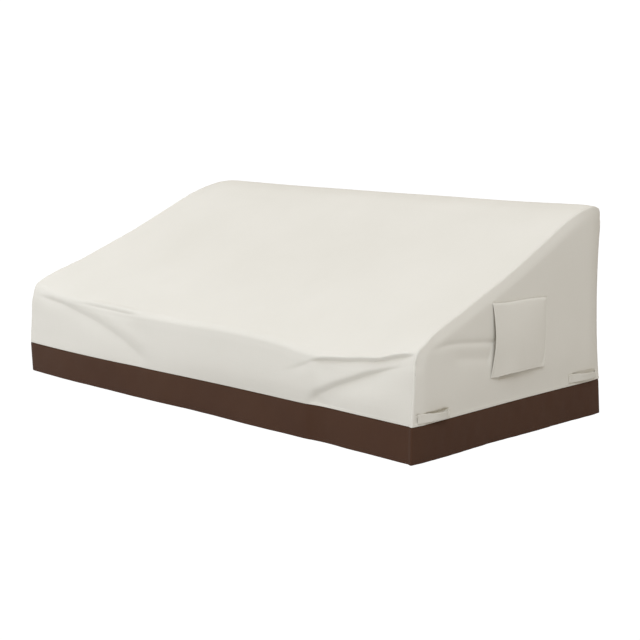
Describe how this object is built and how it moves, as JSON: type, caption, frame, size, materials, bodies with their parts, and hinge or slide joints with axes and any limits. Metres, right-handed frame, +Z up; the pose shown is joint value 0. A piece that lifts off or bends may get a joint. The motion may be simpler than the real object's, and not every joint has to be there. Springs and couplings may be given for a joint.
{
  "type": "outdoor sofa cover",
  "caption": "Fitted outdoor sofa cover in cream cloth with a brown skirt, a high back, a sloping front, side handles and hooded air vents, in the shape in which it is worn.",
  "frame": {"origin": "under the rear ledge, half way along it, where the cover bears on what it covers", "axes": "+X to the right as seen from the front, +Y to the back, +Z up"},
  "size_m": [2.0415, 1.0159, 0.7256],
  "materials": {
    "cream_cloth": "matte coated polyester in a fine plain weave, cream",
    "brown_cloth": "matte coated polyester in a fine plain weave, dark brown"
  },
  "bodies": {
    "root": {"front_top_panel": "cream_cloth", "side_panel_right": "cream_cloth", "side_panel_left": "cream_cloth", "back_panel": "cream_cloth", "skirt_front": "brown_cloth", "skirt_right": "brown_cloth", "skirt_back": "brown_cloth", "skirt_left": "brown_cloth", "vent_hood_right": "cream_cloth", "vent_hood_left": "cream_cloth", "handle_right_front": "cream_cloth", "handle_right_rear": "cream_cloth", "handle_left_front": "cream_cloth", "handle_left_rear": "cream_cloth"}
  },
  "joints": []
}
